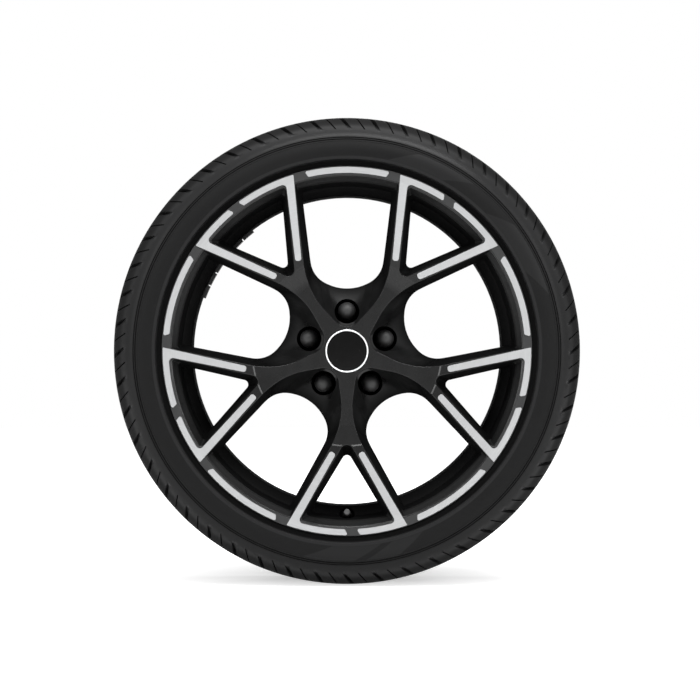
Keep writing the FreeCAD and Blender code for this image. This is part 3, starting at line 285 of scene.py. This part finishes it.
def rim_finish():
    """Gloss black front; dull walls, windows and deep front faces in a near-black metal that keeps them
    dark, which is painted shade; grey back, satin lip, and strips that are turned bright.
    """
    made, tree, surface = new_material("rim_black_and_turned")
    place, radius, angle, height = wheel_coordinates(tree)
    slope = (LIP_Z - ARM_BED_Z) / (LIP_INNER_RADIUS - ARM_BED_RADIUS)
    bed = calc(tree, "MULTIPLY_ADD", calc(tree, "SUBTRACT", radius, ARM_BED_RADIUS), slope, ARM_BED_Z)
    bed = calc(tree, "MINIMUM", bed, LIP_Z)
    turned = calc(tree, "GREATER_THAN", calc(tree, "SUBTRACT", height, bed), STRIP_HEIGHT / 2)
    turned = calc(tree, "MULTIPLY", turned, calc(tree, "GREATER_THAN", radius, STRIP_START_RADIUS))
    on_lip = calc(tree, "GREATER_THAN", radius, LIP_INNER_RADIUS)
    on_lip = calc(tree, "MULTIPLY", on_lip, calc(tree, "GREATER_THAN", height, LIP_Z - LIP_FACE_DEPTH))
    normal = add(tree, "ShaderNodeTexCoord").outputs["Normal"]
    facing = add(tree, "ShaderNodeSeparateXYZ", {"Vector": normal}).outputs["Y"]
    front = ramp(tree, facing, FRONT_FACING[0], FRONT_FACING[1])
    # Painted shade: front faces in deep recesses take the walls' dark finish
    front = calc(tree, "MULTIPLY", front, ramp(tree, height, RECESS_SHADE_HEIGHTS[0], RECESS_SHADE_HEIGHTS[1]))
    rear = ramp(tree, height, REAR_HEIGHTS[0], REAR_HEIGHTS[1])
    rear = calc(tree, "MAXIMUM", rear, ramp(tree, facing, REAR_FACING[0], REAR_FACING[1]))

    dust = noise(tree, place, DUST_SCALE, 4.0)
    peel = noise(tree, place, PEEL_SCALE, 2.0)
    across = add(tree, "ShaderNodeCombineXYZ", {
        "X": calc(tree, "MULTIPLY", radius, TURNED_LINE_SCALES[0]),
        "Y": calc(tree, "MULTIPLY", angle, TURNED_LINE_SCALES[1]),
        "Z": calc(tree, "MULTIPLY", height, TURNED_LINE_SCALES[2]),
    }).outputs["Vector"]
    lines = noise(tree, across, 1.0, 3.0, 0.6)

    # Painted shade: walls and recesses are near-black metal, and the back is grey paint
    shaded_walls = choose(tree, rear, varied(tree, dust, *WALL_SHADE_LEVELS), varied(tree, dust, *REAR_LEVELS))
    level = choose(tree, front, shaded_walls, varied(tree, dust, *FRONT_LEVELS))
    level = choose(tree, on_lip, level, LIP_LEVEL)
    level = choose(tree, turned, level, ramp(tree, lines, *LINES_RANGE, *TURNED_LEVELS))
    dull = choose(tree, rear, varied(tree, dust, *WALL_ROUGHNESS), REAR_ROUGHNESS)
    sheen = choose(tree, front, dull, varied(tree, dust, *FRONT_ROUGHNESS))
    sheen = choose(tree, on_lip, sheen, LIP_ROUGHNESS)
    sheen = choose(tree, turned, sheen, ramp(tree, lines, *LINES_RANGE, *TURNED_ROUGHNESS))
    # Paint on the front and back; the shaded walls and recesses are metal so that they stay dark, as painted
    # shade
    painted = calc(tree, "MAXIMUM", front, calc(tree, "MULTIPLY", rear, REAR_PAINT_SHARE))
    shade_metal_share = calc(tree, "SUBTRACT", 1.0, painted)
    relief = choose(tree, turned, calc(tree, "MULTIPLY", peel, PEEL_SHARE), lines)
    shader = principled(
        tree,
        base_color=grey(tree, level, (0.99, 1.0, 1.01)),
        metallic=choose(tree, turned, shade_metal_share, TURNED_METALLIC),
        roughness=sheen,
        specular_ior_level=0.9,
        specular_tint=(0.3, 0.3, 0.3, 1.0),
        normal=bump(tree, relief, 0.15, 0.0002),
    )
    tree.links.new(shader, surface)
    return made


def between(tree, value, low, high, edge):
    """1 where a value lies between two limits, with soft edges."""
    rise = ramp(tree, value, low - edge, low + edge)
    return calc(tree, "MULTIPLY", rise, ramp(tree, value, high - edge, high + edge, 1.0, 0.0))


def line_mask(tree, radius, middle):
    """1 on a ring line of the sidewall."""
    return between(tree, radius, middle - RING_LINE_WIDTH / 2, middle + RING_LINE_WIDTH / 2, RING_LINE_EDGE)


def rubber_finish(name, level, shine):
    """Moulded rubber with a fine grain."""
    made, tree, surface = new_material(name)
    place = add(tree, "ShaderNodeTexCoord").outputs["Object"]
    grain = noise(tree, place, GRAIN_SCALE, 2.0)
    clouds = noise(tree, place, CLOUD_SCALE, 4.0)
    level = varied(tree, clouds, level * 0.85, level * 1.15)
    shader = principled(
        tree,
        base_color=grey(tree, level, (1.0, 1.0, 1.02)),
        roughness=varied(tree, clouds, 0.5, 0.62),
        specular_ior_level=shine,
        normal=bump(tree, grain, 0.25, 0.0002),
    )
    tree.links.new(shader, surface)
    return made


def tyre_finish():
    """Tyre rubber: a ribbed sidewall with smoother, lighter fields, a shiny shoulder and crest painted
    lighter as highlights, and a dull tread edge, rim groove and sunk ring lines painted darker as shade.
    """
    made, tree, surface = new_material("tyre_rubber")
    place, radius, angle, height = wheel_coordinates(tree)
    side = calc(tree, "GREATER_THAN", calc(tree, "ABSOLUTE", height), TREAD_HALF_WIDTH + EDGE_ROUND / 2)
    off_middle = calc(tree, "SUBTRACT", radius, FIELD_MIDDLE_RADIUS)
    lean = calc(tree, "MULTIPLY_ADD", off_middle, FIELD_LEAN, angle)
    band = calc(tree, "MULTIPLY", between(tree, radius, FIELD_RADII[0], FIELD_RADII[1], 0.0008), side)
    stretches = [between(tree, lean, radians(start), radians(end), 0.006) for start, end in FIELDS]
    field = stretches[0]
    for stretch in stretches[1:]:
        field = calc(tree, "ADD", field, stretch)
    field = calc(tree, "MULTIPLY", field, band)
    # Painted highlight: the shoulder band is lighter
    shoulder_highlight = between(tree, radius, SHOULDER_HIGHLIGHT_RADII[0], SHOULDER_HIGHLIGHT_RADII[1], 0.002)
    # Painted shade: the sunk ring lines are darker
    rings = [line_mask(tree, radius, middle) for middle, depth in RING_LINES if depth > 0]
    sunk = calc(tree, "MAXIMUM", *rings)
    # Painted highlight: the protector's crest is lighter
    crest_highlight = between(tree, radius, CREST_RADII[0], CREST_RADII[1], 0.0006)
    # Painted shade: the tread edge is darker
    tread_edge_shade = ramp(tree, radius, TREAD_EDGE_RADII[0], TREAD_EDGE_RADII[1])
    # Painted shade: the groove by the rim is darker
    rim_groove_shade = calc(tree, "LESS_THAN", radius, RIM_GROOVE_RADIUS)

    ribs = calc(tree, "SINE", calc(tree, "MULTIPLY", radius, 2 * pi / RIB_PITCH))
    ribbed = calc(tree, "MULTIPLY", band, calc(tree, "SUBTRACT", 1.0, field))
    grain = noise(tree, place, GRAIN_SCALE, 2.0)
    clouds = noise(tree, place, CLOUD_SCALE, 4.0)
    level = varied(tree, clouds, *TYRE_LEVELS)
    sheen = varied(tree, clouds, *TYRE_ROUGHNESS)
    zones = (
        (field, FIELD_LOOK), (crest_highlight, CREST_HIGHLIGHT_LOOK), (shoulder_highlight, SHOULDER_HIGHLIGHT_LOOK),
        (tread_edge_shade, TREAD_EDGE_SHADE_LOOK), (rim_groove_shade, RIM_GROOVE_SHADE_LOOK), (sunk, SUNK_LINE_SHADE_LOOK),
    )
    for share, (zone_level, zone_sheen) in zones:
        level = choose(tree, share, level, zone_level)
        sheen = choose(tree, share, sheen, zone_sheen)
    ribs = calc(tree, "MULTIPLY", ribs, ribbed)
    relief = calc(tree, "MULTIPLY_ADD", ribs, 0.5, calc(tree, "MULTIPLY", grain, 0.6))
    shader = principled(
        tree,
        base_color=grey(tree, level, (1.0, 1.0, 1.02)),
        roughness=sheen,
        specular_ior_level=0.12,
        normal=bump(tree, relief, 0.25, 0.0003),
    )
    tree.links.new(shader, surface)
    return made


def plastic_finish(name, level, roughness, grain_strength, shine=0.5):
    """Moulded or coated plastic with a fine grain."""
    made, tree, surface = new_material(name)
    place = add(tree, "ShaderNodeTexCoord").outputs["Object"]
    grain = noise(tree, place, 2400.0, 2.0)
    clouds = noise(tree, place, 90.0, 3.0)
    shader = principled(
        tree,
        base_color=grey(tree, varied(tree, clouds, level * 0.9, level * 1.1)),
        roughness=varied(tree, clouds, roughness * 0.9, roughness * 1.1),
        specular_ior_level=shine,
        normal=bump(tree, grain, grain_strength, 0.0001),
    )
    tree.links.new(shader, surface)
    return made


def metal_finish(name, colour, roughness, streak_scale):
    """Metal with fine streaks."""
    made, tree, surface = new_material(name)
    place = add(tree, "ShaderNodeTexCoord").outputs["Object"]
    stretched = add(tree, "ShaderNodeMapping", {"Vector": place, "Scale": (1.0, 8.0, 1.0)})
    streaks = noise(tree, stretched.outputs["Vector"], streak_scale, 3.0)
    shader = principled(
        tree,
        base_color=grey(tree, varied(tree, streaks, 0.92, 1.0), colour),
        metallic=1.0,
        roughness=varied(tree, streaks, roughness * 0.8, roughness * 1.2),
        normal=bump(tree, streaks, 0.08, 0.0001),
    )
    tree.links.new(shader, surface)
    return made


def dress(finish, *names):
    """Gives CAD nodes a finish."""
    for name in names:
        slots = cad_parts[name].data.materials
        slots.clear()
        slots.append(finish)


def dress_cad_nodes():
    cap = plastic_finish("cap_gloss_black", level=0.005, roughness=0.25, grain_strength=0.02, shine=0.08)
    bolt_cap = plastic_finish("bolt_cap_plastic", level=0.030, roughness=0.50, grain_strength=0.12)
    valve_cap = plastic_finish("valve_cap_plastic", level=0.12, roughness=0.5, grain_strength=0.15)
    weight = plastic_finish("weight_coating", level=0.012, roughness=0.5, grain_strength=0.12)
    rubber = rubber_finish("valve_rubber", level=0.012, shine=0.3)
    plating = metal_finish("bright_plating", (0.92, 0.93, 0.94), roughness=0.38, streak_scale=300.0)
    steel = metal_finish("coated_steel", (0.12, 0.12, 0.13), roughness=0.5, streak_scale=500.0)
    wire = metal_finish("spring_wire", (0.5, 0.5, 0.52), roughness=0.3, streak_scale=700.0)
    brass = metal_finish("turned_brass", (0.72, 0.55, 0.27), roughness=0.3, streak_scale=800.0)
    dress(rim_finish(), "rim")
    dress(cap, "centre_cap")
    dress(plating, "cap_trim_ring")
    dress(wire, "cap_spring_ring")
    dress(bolt_cap, *[f"bolt_cap_{i}" for i in range(1, 6)])
    dress(steel, "wheel_bolts", "bolt_seat_rings")
    dress(rubber, "valve_body", "valve_cap_seal")
    dress(brass, "valve_stem", "valve_core", "valve_pin")
    dress(valve_cap, "valve_cap")
    dress(weight, "balance_weight_front", "balance_weight_rear")


# Tyre: a grid of profile rows and slanted columns, with grooves, shoulder notches and ring lines


def rounded(corners):
    """Points of an open polygon of (radius, height, fillet) corners with its corners rounded."""
    points = [Vector(corners[0][:2])]
    for before, corner, after in zip(corners, corners[1:], corners[2:]):
        place = Vector(corner[:2])
        fillet = corner[2]
        if fillet == 0:
            points.append(place)
            continue
        back = (Vector(before[:2]) - place).normalized()
        ahead = (Vector(after[:2]) - place).normalized()
        half = back.angle(ahead) / 2
        centre = place + (back + ahead).normalized() * (fillet / sin(half))
        arm = place + back * (fillet / tan(half)) - centre
        turn = (pi - 2 * half) * (1 if back.cross(ahead) < 0 else -1)
        for i in range(ARC_STEPS + 1):
            angle = turn * i / ARC_STEPS
            points.append(centre + Vector((arm.x * cos(angle) - arm.y * sin(angle),
                                              arm.x * sin(angle) + arm.y * cos(angle))))
    points.append(Vector(corners[-1][:2]))
    return points


def tyre_outline():
    """The front half of the tyre's outer surface, from the middle of the tread to the bead's toe."""
    crown = [(TYRE_RADIUS - CROWN_DROP * (h / TREAD_HALF_WIDTH)**2, h, 0.0) for h in CROWN_PLACES]
    edge = [(TYRE_RADIUS - CROWN_DROP, TREAD_HALF_WIDTH, EDGE_ROUND)]
    return rounded(crown + edge + list(SIDE_CORNERS))


def at_value(points, axis, value):
    """Length along an outline where its radius (axis 0) or height (axis 1) first passes a value."""
    length = 0.0
    for a, b in zip(points, points[1:]):
        low, high = sorted((a[axis], b[axis]))
        if low <= value <= high and high > low:
            return length + (b - a).length * (value - a[axis]) / (b[axis] - a[axis])
        length += (b - a).length
    raise ValueError(f"no point of the outline at {value}")


def on_outline(points, length):
    """Point and outward normal at a length along an outline."""
    for a, b in zip(points, points[1:]):
        span = (b - a).length
        if length <= span or b is points[-1]:
            along = (b - a) / span
            return a + along * length, Vector((along.y, -along.x))
        length -= span


def smooth_step(value):
    value = min(max(value, 0.0), 1.0)
    return value * value * (3.0 - 2.0 * value)


def tread_rows(points):
    """Rows across half the tread: (length along the outline, drop, wide notch share, slit share)."""
    mouth = GROOVE_WIDTH / 2
    floor = mouth - GROOVE_TAPER
    rows = [(0.0, 0.0, 0.0, 0.0)]
    for height, wide, slit in RIB_ROWS:
        rows.append((at_value(points, 1, height), 0.0, wide, slit))
    for place, wide, slit in GROOVES:
        for offset, drop, share in (
            (-mouth - RIB_CHAMFER, 0.0, 1.0),
            (-mouth, RIB_CHAMFER, 1.0),
            (-floor, GROOVE_DEPTH, 0.0),
            (floor, GROOVE_DEPTH, 0.0),
            (mouth, RIB_CHAMFER, 0.0),
            (mouth + RIB_CHAMFER, 0.0, 0.0),
        ):
            rows.append((at_value(points, 1, place + offset), drop, wide * share, slit * share))
    return sorted(rows)


def side_rows(points):
    """Rows from the shoulder down to the bead's toe, in the same form."""
    rows = []
    for radius in SHOULDER_RADII:
        wide = smooth_step((radius - NOTCH_END_RADIUS) / (NOTCH_FULL_RADIUS - NOTCH_END_RADIUS))
        slit = 1.0 if radius > SLIT_END_RADIUS else 0.0
        rows.append((at_value(points, 0, radius), 0.0, wide, slit))
    half = RING_LINE_WIDTH / 2
    foot = half - RING_LINE_EDGE
    for radius, depth in RING_LINES:
        for offset, drop in ((half, 0.0), (foot, depth), (-foot, depth), (-half, 0.0)):
            rows.append((at_value(points, 0, radius + offset), drop, 0.0, 0.0))
    for radius in SIDEWALL_RADII:
        rows.append((at_value(points, 0, radius), 0.0, 0.0, 0.0))
    length = 0.0
    last = rows[-1][0]
    for a, b in zip(points, points[1:]):
        length += (b - a).length
        if length > last + RING_LINE_EDGE:
            rows.append((length, 0.0, 0.0, 0.0))
    return rows


def notch_columns():
    """Angles round one notch pair: (angle, wide notch share, slit share)."""
    wide = NOTCH_WIDE / 2 / TYRE_RADIUS
    wide_foot = wide - NOTCH_WIDE_WALL / TYRE_RADIUS
    slit = NOTCH_NARROW / 2 / TYRE_RADIUS
    slit_foot = slit - NOTCH_NARROW_WALL / TYRE_RADIUS
    half = pi / NOTCH_PAIRS
    return [
        (-wide, 0.0, 0.0), (-wide_foot, 1.0, 0.0), (wide_foot, 1.0, 0.0), (wide, 0.0, 0.0),
        (half / 2, 0.0, 0.0),
        (half - slit, 0.0, 0.0), (half - slit_foot, 0.0, 1.0),
        (half + slit_foot, 0.0, 1.0), (half + slit, 0.0, 0.0),
        (half * 3 / 2, 0.0, 0.0),
    ]


def slant(length):
    """Angle by which the columns lean at a length along the outline."""
    shift = SLANT_INNER * min(length, SLANT_START) + SLANT_OUTER * max(length - SLANT_START, 0.0)
    return -shift / TYRE_RADIUS


def build_tyre():
    points = tyre_outline()
    notch_end = at_value(points, 0, NOTCH_END_RADIUS)
    half_rows = []
    for length, drop, wide, slit in tread_rows(points) + side_rows(points):
        place, normal = on_outline(points, length)
        half_rows.append((place, normal, slant(min(length, notch_end)), drop, wide, slit))
    flip = Vector((1.0, -1.0))
    other = []
    for place, normal, lean, drop, wide, slit in half_rows[1:]:
        other.append((place * flip, normal * flip, -lean, drop, wide, slit))
    lean_end = half_rows[-1][2]
    still = Vector((0.0, 0.0))
    chamber = []
    for radius, height in CHAMBER:
        lean = lean_end * height / TREAD_HALF_WIDTH
        chamber.append((Vector((radius, height)), still, lean, 0.0, 0.0, 0.0))
    chamber_back = [(p * flip, n, -lean, 0.0, 0.0, 0.0) for p, n, lean, _, _, _ in chamber[:-1]]
    rows = list(reversed(other)) + half_rows + chamber + list(reversed(chamber_back))

    columns = []
    for i in range(NOTCH_PAIRS):
        turn = 2 * pi * i / NOTCH_PAIRS
        for angle, wide, slit in notch_columns():
            columns.append((angle + turn, wide * NOTCH_WIDE_DEPTH, slit * NOTCH_NARROW_DEPTH))
    vertices = []
    for place, normal, lean, drop, wide, slit in rows:
        for angle, wide_depth, slit_depth in columns:
            sunk = place - normal * (drop + wide * wide_depth + slit * slit_depth)
            vertices.append((sunk.x * cos(angle + lean), -sunk.y, sunk.x * sin(angle + lean)))
    n_rows = len(rows)
    n_columns = len(columns)
    faces = []
    for i in range(n_rows):
        for j in range(n_columns):
            a = i * n_columns
            b = (i + 1) % n_rows * n_columns
            k = (j + 1) % n_columns
            faces.append((a + j, a + k, b + k, b + j))
    mesh = bpy.data.meshes.new("tyre_moulded")
    mesh.from_pydata(vertices, [], faces)
    mesh.shade_smooth()
    mesh.set_sharp_from_angle(angle=SHARP_ANGLE)
    mesh.materials.append(tyre_finish())
    piece = bpy.data.objects.new("tyre_moulded", mesh)
    scene.collection.objects.link(piece)
    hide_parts("tyre")
    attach(piece, "wheel")


# Studio: white floor and surroundings, soft lights, camera


def plain_grey(level):
    return (level, level, level, 1.0)


def seen_rays(tree):
    """1 for camera, reflection and see-through rays."""
    path = add(tree, "ShaderNodeLightPath").outputs
    seen = calc(tree, "MAXIMUM", path["Is Camera Ray"], path["Is Glossy Ray"])
    return calc(tree, "MAXIMUM", seen, path["Is Transmission Ray"])


def floor_finish():
    """White to camera, reflections and see-through rays; its glow is painted light, dimmest near the wheel's
    foot so that the shadow shows there, and covering the shadow further out.
    """
    made, tree, surface = new_material("floor_white")
    place = add(tree, "ShaderNodeTexCoord").outputs["Object"]
    middle = (0.0, SHADOW_MIDDLE_Y, cad_box[0][2])
    away = add(tree, "ShaderNodeVectorMath", {0: place, 1: middle}, operation="DISTANCE").outputs["Value"]
    # Painted light: the glow is dimmest round the wheel's foot and full beyond the reach, where it covers
    # the shadow
    strength = ramp(tree, away, SHADOW_REACH[0], SHADOW_REACH[1], FOOT_GLOW, 1.0)
    bounce = add(tree, "ShaderNodeBsdfDiffuse", {"Color": plain_grey(FLOOR_BOUNCE)}).outputs["BSDF"]
    plain = add(tree, "ShaderNodeBsdfDiffuse", {"Color": plain_grey(FLOOR_SEEN)}).outputs["BSDF"]
    glow = add(tree, "ShaderNodeEmission", {"Color": plain_grey(1.0), "Strength": strength})
    shown = add(tree, "ShaderNodeAddShader", {0: plain, 1: glow.outputs["Emission"]}).outputs["Shader"]
    mixed = add(tree, "ShaderNodeMixShader", {0: seen_rays(tree), 1: bounce, 2: shown}).outputs["Shader"]
    tree.links.new(mixed, surface)
    return made


def build_floor():
    half = FLOOR_HALF
    level = cad_box[0][2]
    mesh = bpy.data.meshes.new("floor")
    corners = [(-half, -half, level), (half, -half, level), (half, half, level), (-half, half, level)]
    mesh.from_pydata(corners, [], [(0, 1, 2, 3)])
    mesh.materials.append(floor_finish())
    made = bpy.data.objects.new("floor", mesh)
    scene.collection.objects.link(made)


def build_world():
    """White to camera, reflections and see-through rays; a dim even light to everything else."""
    world = bpy.data.worlds.new("studio")
    world.use_nodes = True
    tree = world.node_tree
    backing = tree.nodes["Background"]
    backing.inputs["Color"].default_value = plain_grey(1.0)
    tree.links.new(choose(tree, seen_rays(tree), AMBIENT, 1.0), backing.inputs["Strength"])
    scene.world = world


def build_lamps():
    """Soft lamps, each aimed at the wheel's centre."""
    for name, place, size, power in LAMPS:
        data = bpy.data.lights.new(name, "AREA")
        data.shape = "RECTANGLE"
        data.size, data.size_y = size
        data.energy = power
        lamp = bpy.data.objects.new(name, data)
        lamp.location = place
        lamp.rotation_euler = (-Vector(place)).to_track_quat("-Z", "Y").to_euler()
        scene.collection.objects.link(lamp)


def build_camera():
    """The wheel's centre lands on its place in the photograph by a small sideways move."""
    offset_x = (PHOTO_SIZE_PX / 2 - WHEEL_CENTRE_PX[0]) * LIP_PLANE_SCALE
    offset_z = (WHEEL_CENTRE_PX[1] - PHOTO_SIZE_PX / 2) * LIP_PLANE_SCALE
    data = bpy.data.cameras.new("camera")
    data.sensor_width = SENSOR_WIDTH_MM
    data.lens = SENSOR_WIDTH_MM * CAMERA_DISTANCE / (PHOTO_SIZE_PX * LIP_PLANE_SCALE)
    camera = bpy.data.objects.new("camera", data)
    camera.location = (offset_x, LIP_PLANE_Y - CAMERA_DISTANCE, offset_z)
    camera.rotation_euler = (pi / 2, 0, 0)
    scene.collection.objects.link(camera)
    scene.camera = camera


dress_cad_nodes()
build_tyre()
build_floor()
build_lamps()
build_world()
build_camera()
